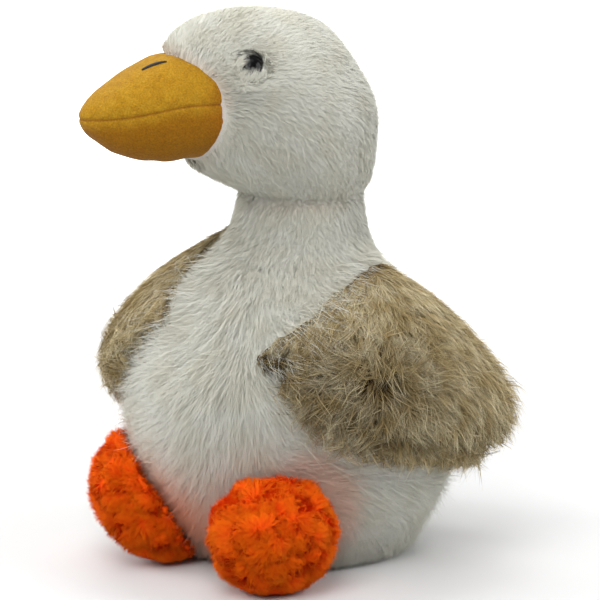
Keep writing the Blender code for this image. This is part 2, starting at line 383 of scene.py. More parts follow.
def shrink(made, depth_at, most):
    """Moves a skin in from the tips of its pile by the pile's depth, and keeps that depth on it."""
    mesh = made.data
    place, facing, edges = shape_of(mesh)
    thick = thickness(tree_of(mesh), place, facing, most)
    depth = np.minimum(depth_at(place, facing), THIN_SHARE * thick)
    depth = relax(depth, edges, 8)
    place = relax(place - facing * depth[:, None], edges, 2)
    place[:, 2] = np.maximum(place[:, 2], FLOOR_CLEARANCE)
    reshape(mesh, place)
    keep_values(mesh, "depth", depth)


def unwrap(made):
    """Unwraps a skin by its own shape."""
    for other in bpy.context.selected_objects:
        other.select_set(False)
    bpy.context.view_layer.objects.active = made
    made.select_set(True)
    made.data.uv_layers.new(name="OFBake")
    bpy.ops.object.mode_set(mode="EDIT")
    bpy.ops.mesh.select_all(action="SELECT")
    bpy.ops.uv.smart_project(angle_limit=math.radians(66), island_margin=0.004)
    bpy.ops.object.mode_set(mode="OBJECT")


class Skin:
    """A finished skin, with the arrays that its pile is grown from."""

    def __init__(self, made):
        mesh = made.data
        mesh.calc_loop_triangles()
        self.made = made
        self.place = read(mesh.vertices, "co", 3)
        self.facing = read(mesh.vertices, "normal", 3)
        self.corners = read(mesh.loop_triangles, "vertices", 3).astype(int)
        loops = read(mesh.loop_triangles, "loops", 3).astype(int)
        self.unwrap = read(mesh.uv_layers["OFBake"].data, "uv", 2)[loops]
        if "depth" in mesh.attributes:
            self.depth = read(mesh.attributes["depth"].data, "value", 1)[:, 0]
        self.tree = BVHTree.FromPolygons(self.place.tolist(), self.corners.tolist())


def floor_fade(place, facing):
    """0 on the underside that the toy sits on, 1 elsewhere."""
    return np.maximum(rise(1.0 * MM, 7.0 * MM, place[:, 2]), rise(-0.8, -0.4, facing[:, 2]))


def chest_share(place):
    """1 on the trunk, 0 on the neck and head."""
    return 1 - rise(neck_base - 14 * MM, neck_base + 8 * MM, place[:, 2])


def head_share(place):
    return rise(neck_seam - 2 * MM, neck_seam + 8 * MM, place[:, 2])


def tail_share(place):
    low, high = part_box("tail")
    behind = rise(low.y - 2 * MM, low.y + 12 * MM, place[:, 1])
    return behind * (1 - rise(high.z, high.z + 14 * MM, place[:, 2]))


def nearness(place, nodes, reach):
    """1 on any of these nodes, falling to 0 this far from them."""
    near = np.zeros(len(place))
    for node in nodes:
        low, high = (np.array(corner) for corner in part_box(node))
        inside = ((place > low - reach) & (place < high + reach)).all(axis=1)
        tree = tree_of(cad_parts[node].data)
        for i in np.where(inside)[0]:
            apart = tree.find_nearest(Vector(place[i]), reach)[3]
            if apart is not None:
                near[i] = max(near[i], 1 - apart / reach)
    return near


def white_painted_light(place):
    """Share of painted light on the white: orange bounce and shade at the feet, bounce by the bill,
    shade in the neck's seam.
    """
    # Painted bounce with painted shade by and between the feet, painted bounce by the bill, painted
    # shade at the seam.
    by_feet = rise(0, 1, nearness(place, ("foot_left", "foot_right"), 10 * MM))
    between = hump(bearing(place), -2, 15) * hump(place[:, 2], 28 * MM, 18 * MM)
    by_bill = rise(0.3, 1, nearness(place, ("bill_upper", "bill_lower"), 5 * MM))
    seam = hump(place[:, 2], neck_seam - 1.5 * MM, 2.4 * MM) * hump(bearing(place), 35, 45)
    return np.maximum.reduce([0.85 * by_feet, 0.95 * between, 0.12 * by_bill, 0.08 * seam])


def body_depth(place):
    """How deep the white pile is."""
    head = head_share(place)
    chest = chest_share(place)
    tail = tail_share(place)
    depth = HEAD_DEPTH_MM * head + NECK_DEPTH_MM * (1 - head)
    depth = depth * (1 - chest) + CHEST_DEPTH_MM * chest
    return (depth * (1 - tail) + TAIL_DEPTH_MM * tail) * MM


def body_skin():
    made = remeshed(
        "body_skin",
        merged(("trunk", "neck", "head", "tail"), SWELL_MM * MM),
        BODY_VOXEL_MM * MM,
        5,
    )
    wings = [tree_of(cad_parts[node].data) for node in ("wing_left", "wing_right")]

    def depth_at(place, facing):
        depth = body_depth(place) + SWELL_MM * MM
        depth = np.where(covered(place, facing, wings), UNDER_WING_MM * MM, depth)
        return depth * (0.25 + 0.75 * floor_fade(place, facing))

    shrink(made, depth_at, 0.06)
    shape_face(made)
    unwrap(made)
    # The cloth keeps the same share of painted bounce light and painted shade.
    keep_values(made.data, "mark", white_painted_light(read(made.data.vertices, "co", 3)))
    return Skin(made)


def shape_face(made):
    """Sinks the cloth round each eye under a soft brow, brings it up round the bill's root, and
    pulls it in at the neck seam.
    """
    place, facing, edges = shape_of(made.data)
    move = np.zeros(len(place))
    for eye in (eye_left, eye_right):
        behind = eye - head_ahead * 3.5 * MM + UP * 3.5 * MM
        move -= 2.2 * MM * hump(np.linalg.norm(place - behind, axis=1), 0, 8.0 * MM)
        brow = eye + UP * 11.5 * MM - head_ahead * 2 * MM
        move += 1.4 * MM * hump(np.linalg.norm(place - brow, axis=1), 0, 7.5 * MM)
        away = place - eye
        apart = np.linalg.norm(away, axis=1)
        below = rise(-0.3, 0.4, unit(away) @ unit(head_ahead * 0.4 + DOWN))
        move += 1.8 * MM * hump(apart, 1.35 * eye_radius, 3.5 * MM) * below
    move += 2.3 * MM * rise(0, 0.8, nearness(place, ("bill_upper", "bill_lower"), 6 * MM))
    move -= 3.8 * MM * hump(place[:, 2], neck_seam - 1 * MM, 2.8 * MM)
    place += facing * move[:, None]
    by_seam = hump(place[:, 2], neck_seam, 6 * MM)[:, None]
    place += (relax(place, edges, 4) - place) * by_seam
    reshape(made.data, place)


def tuft_up(made, spacing, height):
    """Gathers a skin into round tufts this far apart, with creases between them."""
    place, facing, _ = shape_of(made.data)
    middles = np.empty((0, 3))
    for i in np.random.default_rng(9).permutation(len(place)):
        if not len(middles) or np.linalg.norm(middles - place[i], axis=1).min() > 0.75 * spacing:
            middles = np.vstack([middles, place[i]])
    _, apart = nearest_of(middles, place)
    rounded = 0.5 - (apart / (0.55 * spacing)) ** 2
    place += facing * (height * rounded * floor_fade(place, facing))[:, None]
    place[:, 2] = np.maximum(place[:, 2], FLOOR_CLEARANCE)
    reshape(made.data, place)


def crease(made, share, deep):
    """Presses a skin in where share is 1."""
    place, facing, _ = shape_of(made.data)
    reshape(made.data, place - facing * (deep * share(place))[:, None])


def pad_skin(node, voxel, depth, lump, mark, finish):
    """The skin of a wing or a foot, with lumps of this height under its pile."""
    made = remeshed(f"{node}_skin", merged((node,), SWELL_MM * MM), voxel, 4)
    keep_largest(made)

    lumps = waves(40, LUMP_SPACING_MM * MM)

    def depth_at(place, facing):
        fade = floor_fade(place, facing)
        return (depth + SWELL_MM * MM) * (0.3 + 0.7 * fade) + lump * (1 + lumps(place)) * fade

    shrink(made, depth_at, 0.05)
    if node.startswith("foot"):
        tuft_up(made, TUFT_SPACING_MM * MM, TUFT_HEIGHT_MM * MM)
    else:
        crease(made, wing_fold, FOLD_DEPTH_MM * MM)
    unwrap(made)
    keep_values(made.data, "mark", mark(read(made.data.vertices, "co", 3)))
    made.data.materials.append(finish)
    return Skin(made)


# ---------------------------------------------------------------- materials


class Nodes:
    """The shader nodes of a new material, or of a world."""

    def __init__(self, owner, shader="Principled BSDF"):
        owner.use_nodes = True
        self.owner = owner
        self.nodes = owner.node_tree.nodes
        self.links = owner.node_tree.links
        self.shader = self.nodes[shader]

    def feed(self, node, inputs):
        """Gives a node's inputs their values: another node's output, a colour or a number."""
        for name, value in inputs.items():
            socket = node.inputs[name]
            if isinstance(value, bpy.types.NodeSocket):
                self.links.new(value, socket)
            elif isinstance(value, tuple):
                socket.default_value = (*value, 1.0)
            else:
                socket.default_value = value

    def add(self, kind, inputs, **settings):
        node = self.nodes.new(f"ShaderNode{kind}")
        for key, value in settings.items():
            setattr(node, key, value)
        self.feed(node, inputs)
        return node

    def attribute(self, name):
        return self.add("Attribute", {}, attribute_name=name).outputs["Fac"]

    def place(self):
        return self.add("TexCoord", {}).outputs["Object"]

    def camera(self):
        """1 to the camera, 0 to every other ray."""
        return self.add("LightPath", {}).outputs["Is Camera Ray"]

    def noise(self, size, detail=2.0):
        """Noise in the object's own space, with swells of this size."""
        inputs = {"Vector": self.place(), "Scale": 1 / size, "Detail": detail}
        return self.add("TexNoise", inputs).outputs["Fac"]

    def stretched(self, value, low, high, start=0.0, end=1.0):
        ends = {"From Min": start, "From Max": end, "To Min": low, "To Max": high}
        return self.add("MapRange", {"Value": value, **ends}).outputs["Result"]

    def ramp(self, value, stops):
        node = self.add("ValToRGB", {"Fac": value})
        elements = node.color_ramp.elements
        while len(elements) < len(stops):
            elements.new(0.5)
        for element, (at, colour) in zip(elements, stops):
            element.position = at
            element.color = (*colour, 1.0)
        return node.outputs["Color"]

    def mixed(self, share, first, second, blend="MIX"):
        inputs = {0: share, 6: first, 7: second}
        return self.add("Mix", inputs, data_type="RGBA", blend_type=blend).outputs[2]

    def times(self, first, second, share=1.0):
        return self.mixed(share, first, second, "MULTIPLY")

    def bump(self, height, distance, strength=1.0):
        inputs = {"Height": height, "Distance": distance, "Strength": strength}
        return self.add("Bump", inputs).outputs["Normal"]

    def finish(self, colour, roughness, specular, **inputs):
        """Feeds the shader, an input's name written with _ for a space. Gives the material."""
        named = {name.replace("_", " "): value for name, value in inputs.items()}
        named.update({"Base Color": colour, "Roughness": roughness, "Specular IOR Level": specular})
        self.feed(self.shader, named)
        return self.owner


def new_material(name):
    return Nodes(bpy.data.materials.new(name))


def pile_material(name, stops, spread, mark, mark_at_tip, tint, patch_mm, sheen, gleam=(1, 1, 1)):
    """Plush pile, coloured from root to tip. Each tuft has its own shade, and patches a tint."""
    made = new_material(name)
    colour = made.ramp(made.attribute("along"), stops)
    shade = made.stretched(made.attribute("shade"), 1 - spread, 1 + spread)
    patches = made.stretched(made.noise(patch_mm * MM), 0.0, 1.0, 0.42, 0.62)
    colour = made.times(made.times(colour, shade), tint, patches)
    fade = made.stretched(made.attribute("along"), 1.0, mark_at_tip)
    marks = {0: made.attribute("mark"), 1: fade}
    share = made.add("Math", marks, operation="MULTIPLY", use_clamp=True).outputs["Value"]
    return made.finish(
        made.mixed(share, colour, mark), made.stretched(made.attribute("shade"), 0.82, 0.96), 0.15,
        Sheen_Weight=sheen, Sheen_Roughness=0.5, Sheen_Tint=gleam,
    )


def cloth_material(name, colour, shadow, mark):
    """The knitted backing that the pile grows from."""
    made = new_material(name)
    weave = made.noise(0.8 * MM, 3.0)
    patches = made.stretched(made.noise(9 * MM), 0.0, 1.0, 0.35, 0.65)
    base = made.times(made.mixed(patches, colour, shadow), made.stretched(weave, 0.75, 1.1))
    base = made.mixed(made.attribute("mark"), base, mark)
    rough = made.stretched(weave, 0.85, 1.0)
    return made.finish(base, rough, 0.15, Normal=made.bump(weave, 0.3 * MM))


# ---------------------------------------------------------------- pile


def scatter(skin, density, count, rng):
    """Places spread evenly over a skin: place, facing, place on its unwrap, depth of pile."""
    corners = skin.place[skin.corners]
    facing = skin.facing[skin.corners]
    edges = corners[:, 1:] - corners[:, :1]
    area = np.linalg.norm(np.cross(edges[:, 0], edges[:, 1]), axis=1)
    total = np.cumsum(area * density(corners.mean(axis=1), unit(facing.mean(axis=1))))
    at = (np.arange(count) + rng.random(count)) / count * total[-1]
    chosen = np.minimum(np.searchsorted(total, at), len(total) - 1)
    u, v = rng.random((2, count))
    over = u + v > 1
    u[over], v[over] = 1 - u[over], 1 - v[over]
    share = np.stack([1 - u - v, u, v], axis=1)[:, :, None]
    return (
        (corners[chosen] * share).sum(axis=1),
        unit((facing[chosen] * share).sum(axis=1)),
        (skin.unwrap[chosen] * share).sum(axis=1),
        (skin.depth[skin.corners[chosen]] * share[:, :, 0]).sum(axis=1),
    )


def landed(ground, place):
    """The nearest point on any of these surfaces, and the way it faces."""
    spots = np.empty_like(place)
    faces = np.empty_like(place)
    for i, point in enumerate(place.tolist()):
        best = None
        for tree in ground:
            found = tree.find_nearest(point, REACH)
            if found[0] is not None and (best is None or found[3] < best[3]):
                best = found
        if best is None:
            best = (place[i], UP)
        spots[i] = best[0]
        faces[i] = best[1]
    return spots, faces


def grow_locks(ground, start, facing, way, length, depth, stand, stations):
    """Guide hairs that leave the skin and then follow it. stand is how early they reach depth."""
    line = [start]
    faces = [facing]
    at = start
    for step in range(1, stations):
        share = step / (stations - 1)
        at, now = landed(ground, at + way * length[:, None] / (stations - 1))
        now = unit(now + faces[-1])
        way = flat_to(now, way)
        line.append(at + now * (depth * math.sin(share * math.pi / 2) ** stand)[:, None])
        faces.append(now)
    return np.stack(line, axis=1), np.stack(faces, axis=1)


def layer(skin, ground, rule, rng):
    """One layer of a coat: tufts gathered into locks."""

    def ruled(name, place):
        """A rule that may be one number for every place."""
        value = rule[name]
        return value(place) if callable(value) else np.full(len(place), value)

    stations = rule["stations"]
    t = np.linspace(0, 1, stations)
    lock_root, lock_facing, _, lock_depth = scatter(skin, rule["where"], rule["locks"], rng)
    locks = len(lock_root)
    way = flat_to(lock_facing, rule["comb"](lock_root, lock_facing))
    way = turned(way, lock_facing, ruled("tousle", lock_root) * rng.normal(size=locks))
    length = ruled("length", lock_root) * rng.uniform(0.85, 1.12, locks)
    depth = lock_depth * ruled("full", lock_root) * rng.uniform(0.8, 1.1, locks)
    line, faces = grow_locks(
        ground, lock_root, lock_facing, way, length, depth, rule["stand"], stations
    )
    bend = rule["curl"] * length * rng.normal(size=locks)
    aside = np.cross(lock_facing, way) * bend[:, None]
    line += aside[:, None] * np.sin(t * 2 * np.pi * rule["turns"])[:, None]

    root, facing, unwrapped, own_depth = scatter(skin, rule["where"], rule["count"], rng)
    lock, _ = nearest_of(lock_root, root)

    count = len(root)
    pull = rule["pull"] * t**0.9
    run = line[lock] - line[lock][:, :1]
    own = rng.uniform(0.7, 1.12, (count, 1, 1))
    apart = (root - lock_root[lock])[:, None] * (1 - pull)[:, None]
    points = lock_root[lock][:, None] + apart + run * own
    wild = rng.random(count) < rule["wild"]
    stray = rule["stray"] * ruled("length", root) * np.where(wild, 2.2, 1.0)
    points += (rng.normal(size=(count, 3)) * stray[:, None])[:, None] * (t**1.5)[:, None]
    lift = np.where(wild, rng.uniform(0.1, 0.6, count), 0.0) * own_depth
    points += (facing * lift[:, None])[:, None] * t[:, None]
    points[:, :, 2] = np.maximum(points[:, :, 2], FLOOR_CLEARANCE)

    lit = unit(faces[lock] * 0.6 + facing[:, None] * 0.4)
    by_lock = rule["clump"]
    shade = by_lock * rng.random(locks)[lock] + (1 - by_lock) * rng.random(count)
    width = rule["width"] * rng.uniform(0.7, 1.25, count)
    return slivers(points, lit, width, unwrapped, shade, rule["mark"](root), rule["soft"], rng)


def slivers(points, lit, width, unwrapped, shade, mark, softness, rng):
    """A tapered, curved sliver of pile for each row of points, as the arrays of a mesh."""
    count, stations = points.shape[:2]
    t = np.linspace(0, 1, stations)
    along = unit(np.gradient(points, axis=1))
    roll = np.radians(rng.uniform(-38, 38, (count, 1, 1)))
    side = unit(np.cross(along, lit))
    back = np.cross(side, along)
    side = side * np.cos(roll) + back * np.sin(roll)
    back = np.cross(side, along)
    half = (width[:, None] / 2 * (1 - 0.55 * t**2)[None, :-1])[..., None]

    per = 2 * stations - 1
    place = np.empty((count, per, 3), np.float32)
    place[:, 0:-1:2] = points[:, :-1] - side[:, :-1] * half
    place[:, 1:-1:2] = points[:, :-1] + side[:, :-1] * half
    place[:, -1] = points[:, -1]
    place[..., 2] = np.maximum(place[..., 2], FLOOR_CLEARANCE)
    soft = lit * softness + back * (1 - softness)
    rounded = side * (ROUNDNESS * (1 - softness))
    normal = np.empty((count, per, 3), np.float32)
    normal[:, 0:-1:2] = unit(soft[:, :-1] - rounded[:, :-1])
    normal[:, 1:-1:2] = unit(soft[:, :-1] + rounded[:, :-1])
    normal[:, -1] = unit(soft[:, -1])

    quads = [(2 * j, 2 * j + 1, 2 * j + 3, 2 * j + 2) for j in range(stations - 2)]
    order = np.array([i for quad in quads for i in quad] + [per - 3, per - 2, per - 1])
    down_it = np.append(np.repeat(t[:-1], 2), 1.0)
    across = np.append(np.tile([-0.5, 0.5], stations - 1), 0.0)
    patch = np.stack([across, down_it - 0.5], axis=1) * PATCH
    return {
        "place": place.reshape(-1, 3),
        "normal": normal.reshape(-1, 3),
        "corners": (np.arange(count)[:, None] * per + order).ravel(),
        "sizes": np.tile([4] * len(quads) + [3], count),
        "unwrap": np.clip(unwrapped[:, None] + patch[order], 0.001, 0.999).reshape(-1, 2),
        "along": np.tile(down_it, count),
        "shade": np.repeat(shade, per),
        "mark": np.repeat(mark, per),
    }


def coat(name, skin, ground, rules, seed):
    """A coat piece of one or more layers."""
    rng = np.random.default_rng(seed)
    layers = [layer(skin, ground, rule, rng) for rule in rules]
    first = 0
    for made in layers:
        made["corners"] += first
        first += len(made["place"])
    whole = {key: np.concatenate([made[key] for made in layers]) for key in layers[0]}
    sizes = whole["sizes"]
    mesh = bpy.data.meshes.new(name)
    mesh.vertices.add(len(whole["place"]))
    mesh.vertices.foreach_set("co", whole["place"].ravel())
    mesh.loops.add(len(whole["corners"]))
    mesh.loops.foreach_set("vertex_index", whole["corners"].astype(np.int32))
    mesh.polygons.add(len(sizes))
    mesh.polygons.foreach_set("loop_start", (np.cumsum(sizes) - sizes).astype(np.int32))
    mesh.update(calc_edges=True)
    mesh.shade_smooth()
    for label in ("along", "shade", "mark"):
        keep_values(mesh, label, whole[label])
    unwrapped = mesh.uv_layers.new(name="OFBake")
    unwrapped.data.foreach_set("uv", whole["unwrap"].astype(np.float32).ravel())
    mesh.normals_split_custom_set_from_vertices(whole["normal"])
    mesh.materials.append(rules[0]["finish"])
    return link(name, mesh)


# ---------------------------------------------------------------- the lie of each coat


def head_comb(place, facing):
    """Away from the bill over the face, then down the back of the head."""
    from_bill = unit(place - bill_root)
    behind = rise(-5 * MM, 40 * MM, -(place @ head_ahead))
    low = 1 - rise(neck_seam + 5 * MM, neck_seam + 45 * MM, place[:, 2])
    return from_bill + DOWN * (0.15 + 1.2 * behind + 0.9 * low)[:, None]


def fringe(eye):
    """The hairs that cross a bead from below, and those that fill the dish round it.

    Each is where they are rooted, and their lie.
    """
    front = unit(head_ahead * 0.8 + DOWN)

    def below_it(place, facing):
        away = place - eye
        apart = np.linalg.norm(away, axis=1)
        near = (apart > eye_radius * 0.95) & (apart < eye_radius * 1.6)
        return near * rise(0.05, 0.5, unit(away) @ front)

    def over_it(place, facing):
        return unit(eye - place) * 0.5 - front

    def round_it(place, facing):
        apart = np.linalg.norm(place - eye, axis=1)
        under = rise(-0.2, 0.3, unit(place - eye) @ front)
        return ((apart > eye_radius * 0.92) & (apart < eye_radius * 1.35)) * under

    def clear_of_it(place, facing):
        way = unit(place - eye)
        return way * np.sign(-(way @ front))[:, None] - head_ahead * 0.3

    return (below_it, over_it), (round_it, clear_of_it)


def body_comb(place, facing):
    turn = bearing(place)
    side = np.tanh((turn - PARTING) / PARTING_WIDTH)
    side = side * np.abs(side)
    high = place[:, 2]
    belt = rise(8 * MM, 38 * MM, high) * (1 - rise(88 * MM, 116 * MM, high))
    front = 1 - rise(75, 120, np.abs(turn - PARTING))
    sideways = belt * front
    over_foot = hump(turn, 45, 24) * hump(high, 50 * MM, 14 * MM)
    way = way_round(place) * (side * sideways * 1.3)[:, None]
    way += DOWN * (1 - 0.5 * sideways)[:, None] + UP * (0.9 * over_foot)[:, None]
    head = head_share(place)[:, None]
    tail = tail_share(place)[:, None]
    way = way * (1 - head) + head_comb(place, facing) * head
    return way * (1 - tail) + np.array([0.0, 1.0, 0.15]) * 1.5 * tail


def body_length(place):
    head = head_share(place)
    chest = chest_share(place)
    cheek = hump(place[:, 2], neck_seam + 8 * MM, 14 * MM)
    face = HEAD_LENGTH_MM + (CHEEK_LENGTH_MM - HEAD_LENGTH_MM) * cheek
    length = face * head + NECK_LENGTH_MM * (1 - head)
    length = length * (1 - chest) + CHEST_LENGTH_MM * chest
    tail = tail_share(place)
    return (length * (1 - tail) + TAIL_LENGTH_MM * tail) * MM


def down_length(place):
    """Of the shorter pile under the wisps."""
    return 0.7 * body_length(place)


def visible_body(bill_tree, wing_trees):
    """The share of pile at each place of the body: none under the bill or in an eye's dish."""

    def density(place, facing):
        shown = np.ones(len(place))
        for eye in (eye_left, eye_right):
            away = place - eye
            bare = eye_radius * (1 + 0.25 * rise(-0.3, 0.3, unit(away) @ (UP - head_ahead * 0.8)))
            shown *= np.linalg.norm(away, axis=1) > bare
        near = np.where(((place - bill_root) @ head_ahead > -0.03) & (place[:, 2] > neck_seam))[0]
        ahead = Vector(head_ahead)
        for i in near:
            if bill_tree.ray_cast(Vector(place[i]) - ahead * 0.002, ahead, 0.04)[0] is not None:
                shown[i] = 0.0
        trunk = np.where(place[:, 2] < neck_base)[0]
        shown[trunk[covered(place[trunk], facing[trunk], wing_trees)]] = 0.25
        return shown * (0.12 + 0.88 * floor_fade(place, facing))

    return density


def wing_comb(top, core):
    """Away from the shoulder at the wing's top, and under it away from the ruffled middle."""

    def comb(place, facing):
        beside = wing_fold(place, 6 * MM)[:, None]
        along = way_round(place) + UP * 0.2
        away = place - core
        apart = np.linalg.norm(away, axis=1)
        pushed = np.exp(-((apart / (32 * MM)) ** 2)) * (1 - rise(2 * MM, 16 * MM, away[:, 2]))
        way = unit(place - top) + DOWN * 0.35 + unit(away) * (2.2 * pushed)[:, None]
        return way * (1 - beside) + along * beside

    return comb


def wing_core(place):
    """1 in the ruffled middle of either wing, 0 at its smooth rim."""
    turn = np.abs(bearing(place))
    return hump(turn, 56, 34) * hump(place[:, 2], 79 * MM, 20 * MM)


def wing_length(place):
    return WING_LENGTH_MM * (0.72 + 0.28 * wing_core(place) - 0.4 * wing_fold(place)) * MM


def wing_tousle(place):
    return 12 + 34 * wing_core(place) * (1 - 0.8 * wing_fold(place, 6 * MM))


def wing_fullness(place):
    """The pile stands out most where the wing's back end rubs into tufts."""
    tufted = hump(np.abs(bearing(place)), 112, 20) * hump(place[:, 2], 64 * MM, 17 * MM)
    return 1 + 0.25 * wing_core(place) + 0.8 * tufted


def wing_fold(place, width=2.2 * MM):
    """1 along the fold that runs back and up from the left wing's front tip."""
    turn = bearing(place)
    height = 86.8 * MM + 0.5 * MM * np.maximum(turn - 42, 0)
    return hump(place[:, 2], height, width) * rise(22, 27, turn) * (1 - rise(48, 60, turn))


def wing_roots_and_shade(place):
    """Painted shade in the fold and at the left wing's front tip. The left wing's middle is darker,
    partly from its darker roots, partly from painted shade.
    """
    # Only the left wing: darker roots where its pile parts, with painted shade. The right wing is
    # left paler.
    side = np.where(bearing(place) > 0, 1.0, 0.0)
    front = 0.6 * hump(bearing(place), 30, 14) * hump(place[:, 2], 84 * MM, 12 * MM)
    return np.maximum.reduce([1.5 * wing_fold(place), 0.95 * wing_core(place) * side, front])


def foot_painted_shade(place):
    """Painted shade, darker low on the foot towards the floor."""
    return 0.1 * (1 - rise(2 * MM, 14 * MM, place[:, 2]))


def foot_comb(middle, seed):
    swell = [waves(seed + i, 13 * MM) for i in range(3)]

    def comb(place, facing):
        drift = np.stack([field(place) for field in swell], axis=1)
        return unit(place - middle) * 0.4 + drift * 0.9 + DOWN * 0.2

    return comb


# ---------------------------------------------------------------- bill


def seam_height(place):
    """Height above the bill's side seam, which droops towards the tip and arches between."""
    ahead = place @ head_ahead - 32 * MM
    arch = SEAM_ARCH_MM * MM * hump(ahead, 24 * MM, 16 * MM)
    return place[:, 2] - (bill_seam + arch - math.tan(math.radians(BILL_DROOP)) * ahead)


def felt_material():
    made = new_material("bill_felt")
    fibres = made.noise(0.7 * MM, 4.0)
    base = made.ramp(made.stretched(made.noise(3.2 * MM, 3.0), 0.0, 1.0, 0.25, 0.75), FELT)
    # Lower: the bill's underside darker, partly its own colour, partly painted shade.
    for label, colour in (("lower", FELT_LOWER_AND_SHADE), ("root", FELT_ROOT), ("seam", FELT_SEAM)):
        base = made.mixed(made.attribute(label), base, colour)
    return made.finish(
        made.times(base, made.stretched(fibres, 0.74, 1.2, 0.3, 0.7)),
        made.stretched(fibres, 0.8, 0.98), 0.12,
        Sheen_Weight=0.06, Sheen_Roughness=0.5, Normal=made.bump(fibres, 0.3 * MM),
    )


def bill_skin():
    """Both halves as one stuffed felt bill, creased along the side seam, rooted in the head."""
    made = remeshed(
        "bill_felt", merged(("bill_upper", "bill_lower"), 0.3 * MM), BILL_VOXEL_MM * MM, 5, 1
    )
    mesh = made.data
    place, facing, edges = shape_of(mesh)
    behind = 1 - rise(50 * MM, 56 * MM, place @ head_ahead)
    rooted = relax(rise(0.1, 0.5, -(facing @ head_ahead)) * behind, edges, 3)
    place -= head_ahead * (rooted * 6 * MM)[:, None]
    off = seam_height(place)
    dent = 0.45 * MM * hump(off, 0, 0.8 * MM) + 0.2 * MM * hump(off, 0, 3 * MM)
    pucker = waves(31, 5 * MM)(place) * 0.12 * MM * hump(off, 0, 4 * MM)
    lumps = waves(32, 17 * MM)(place) * 0.22 * MM
    place += facing * (lumps + pucker - dent)[:, None]
    reshape(mesh, place)
    ahead = place @ head_ahead
    for label, values in (
        ("seam", 0.7 * hump(off, 0, 0.42 * MM)),
        # Lower half darker: partly its own colour, partly painted shade.
        ("lower", 0.85 * (1 - rise(-6 * MM, 0.5 * MM, off))),
        ("root", 0.55 * (1 - rise(40 * MM, 52 * MM, ahead + np.abs(off) * 0.3))),
    ):
        keep_values(mesh, label, values)
    mesh.materials.append(felt_material())
    unwrap(made)
    return Skin(made)


def bridge(made, rings):
    """Faces between each ring of points and the next. A ring may be a single point."""
    for low, high in zip(rings, rings[1:]):
        count = max(len(low), len(high))
        for k in range(count):
            j = (k + 1) % count
            corners = low[k % len(low)], high[k % len(high)], high[j % len(high)], low[j % len(low)]
            made.faces.new(list(dict.fromkeys(corners)))


def smooth_piece(name, made, finish):
    """A piece of this bmesh, which faces outwards all over."""
    bmesh.ops.recalc_face_normals(made, faces=made.faces)
    mesh = mesh_of(name, made)
    mesh.shade_smooth()
    mesh.materials.append(finish)
    return link(name, mesh)


def tubes(name, lines, radius, sides, finish):
    """Round tubes with domed ends along these lines, as one piece."""
    made = bmesh.new()
    for line in lines:
        points = np.array(line)
        along = unit(np.gradient(points, axis=0))
        aside = unit(np.cross(along, UP + 0.01))
        above = np.cross(aside, along)
        rings = []
        last = len(points) - 1
        for i in range(len(points)):
            share = i / last
            size = radius * min(1.0, 2.2 * math.sqrt(max(min(share, 1 - share), 0.0) + 0.02))
            ring = []
            for k in range(sides):
                angle = 2 * math.pi * k / sides
                spot = points[i] + size * (aside[i] * math.cos(angle) + above[i] * math.sin(angle))
                ring.append(made.verts.new(spot))
            rings.append(ring)
        bridge(made, rings)
        made.faces.new(rings[0][::-1])
        made.faces.new(rings[-1])
    return smooth_piece(name, made, finish)


def thread_material():
    made = new_material("black_thread")
    strands = made.noise(0.35 * MM)
    base = made.mixed(made.stretched(strands, 0.0, 1.0, 0.35, 0.65), *THREAD)
    rough = made.stretched(strands, 0.45, 0.7)
    return made.finish(base, rough, 0.5, Normal=made.bump(strands, 0.15 * MM))


def nostril(name, bill, side, outward, finish):
    """A short row of slanting satin stitches that tapers at both ends."""
    stitches = 17
    lines = []
    for i in range(stitches):
        share = i / (stitches - 1)
        ahead = 58.8 * MM + 8.2 * MM * share
        aside = side * (outward + 9.8 - 3.6 * share - 1.0 * math.sin(share * math.pi)) * MM
        half = (0.35 + 0.55 * math.sin(share * math.pi) ** 0.7) * MM
        line = []
        for k in (-1.0, -0.5, 0.0, 0.5, 1.0):
            spot = head_ahead * (ahead + k * half * 0.9) + head_left * (aside + side * k * half)
            found = bill.tree.ray_cast(Vector(spot + UP * 0.25), Vector(DOWN))
            line.append(np.array(found[0]) + np.array(found[1]) * (0.18 * (1 - k * k) + 0.05) * MM)
        lines.append(line)
    return tubes(name, lines, 0.3 * MM, 6, finish)


# ---------------------------------------------------------------- eyes


def bead_material():
    made = new_material("black_bead")
    wear = made.noise(2.5 * MM, 3.0)
    rough = made.stretched(wear, 0.05, 0.12)
    swell = made.bump(made.noise(1.2 * MM), 0.02 * MM, 0.4)
    return made.finish(made.mixed(wear, *BEAD), rough, 0.13, Normal=swell)


def bead(name, middle, outward, finish):
    """A bead eye: a domed front, a fine parting line, and the washer that holds it behind."""
    outline = [(math.sin(math.radians(a)), math.cos(math.radians(a))) for a in range(0, 92, 4)]
    outline += [(0.985, -0.05), (1.0, -0.1), (0.99, -0.3), (0.9, -0.45), (0.55, -0.6), (0.0, -0.62)]
    made = bmesh.new()
    around = 48
    turn = Vector(outward).to_track_quat("Z", "Y")
    rings = []
    for across, along in outline:
        ring = []
        for k in range(around if across > 1e-6 else 1):
            angle = 2 * math.pi * k / around
            spot = Vector((across * math.cos(angle), across * math.sin(angle), along)) * eye_radius
            ring.append(made.verts.new(Vector(middle) + turn @ spot))
        rings.append(ring)
    bridge(made, rings)
    return smooth_piece(name, made, finish)


# ---------------------------------------------------------------- stage


def outward_to(turn, tilt):
    """The direction out from the toy on this bearing, risen by tilt."""
    turn, tilt = math.radians(turn), math.radians(tilt)
    return Vector(
        (math.sin(turn) * math.cos(tilt), -math.cos(turn) * math.cos(tilt), math.sin(tilt))
    )


